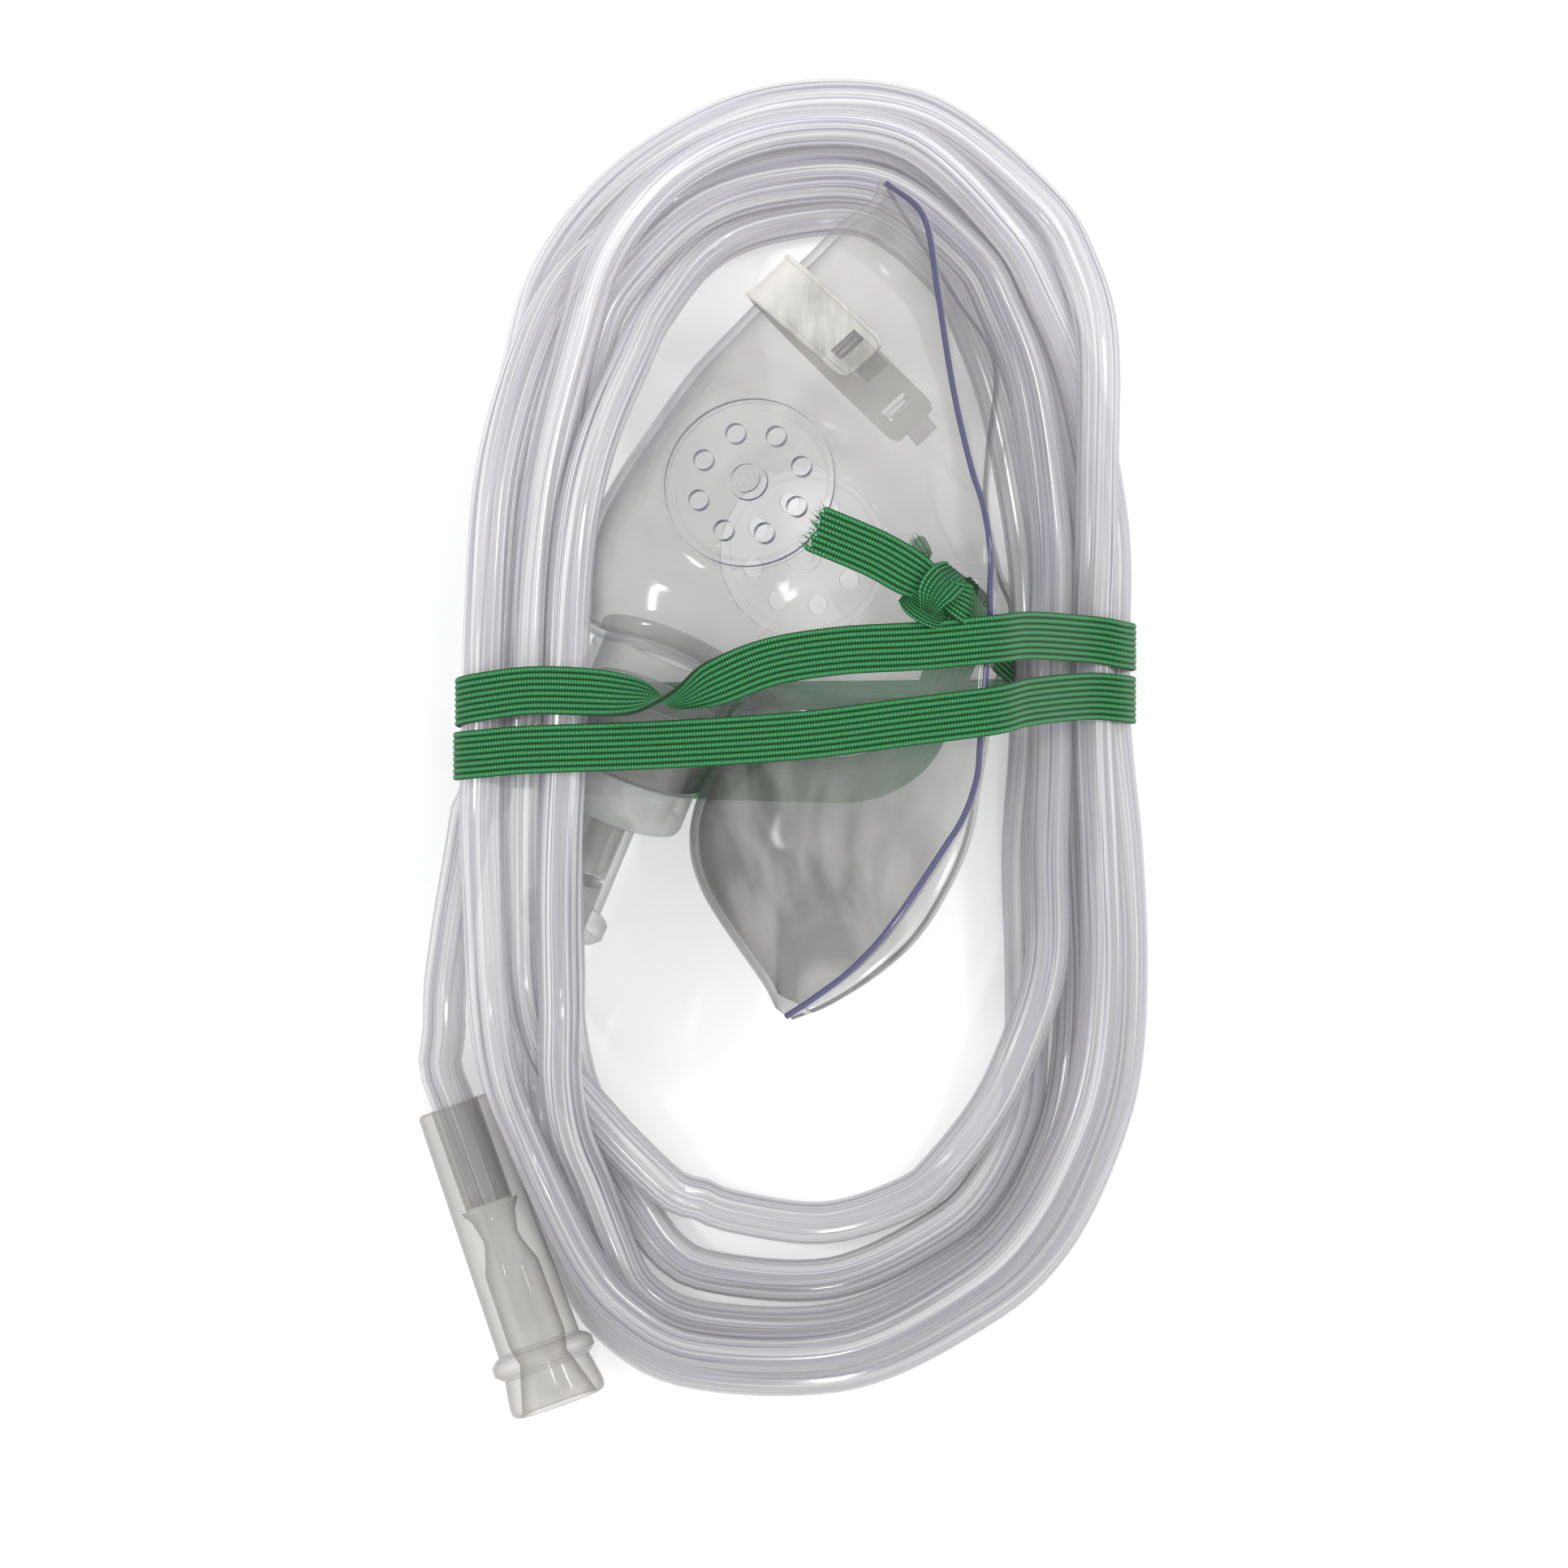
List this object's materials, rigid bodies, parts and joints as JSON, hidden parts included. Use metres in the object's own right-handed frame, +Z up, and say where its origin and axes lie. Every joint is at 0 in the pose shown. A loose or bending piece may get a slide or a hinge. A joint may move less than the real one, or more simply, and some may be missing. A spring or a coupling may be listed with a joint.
{
  "type": "oxygen face mask",
  "caption": "Clear medical oxygen mask on its side in an oval coil of clear tubing, with vented cheeks, a nose clip, a supply connector and a green elastic strap wound round.",
  "frame": {"origin": "On the floor under the middle of the mask and strap", "axes": "+Z up, +Y from the mask's chin towards its nose, +X from the port side towards the open face side"},
  "size_m": [0.1085, 0.2004, 0.0479],
  "materials": {
    "mask_shell": "clear soft vinyl",
    "nose_clip": "satin",
    "port_adapter": "frosted",
    "connector": "clear vinyl",
    "tubing": "clear vinyl",
    "head_strap": "ribbed woven elastic"
  },
  "bodies": {
    "root": {"mask_shell": "mask_shell", "nose_clip": "nose_clip", "port_adapter": "port_adapter", "mask_tube_connector": "connector", "tubing_lead": "tubing", "tubing_coil": "tubing", "tubing_tail": "tubing", "supply_connector": "connector", "head_strap": "head_strap"}
  },
  "joints": []
}
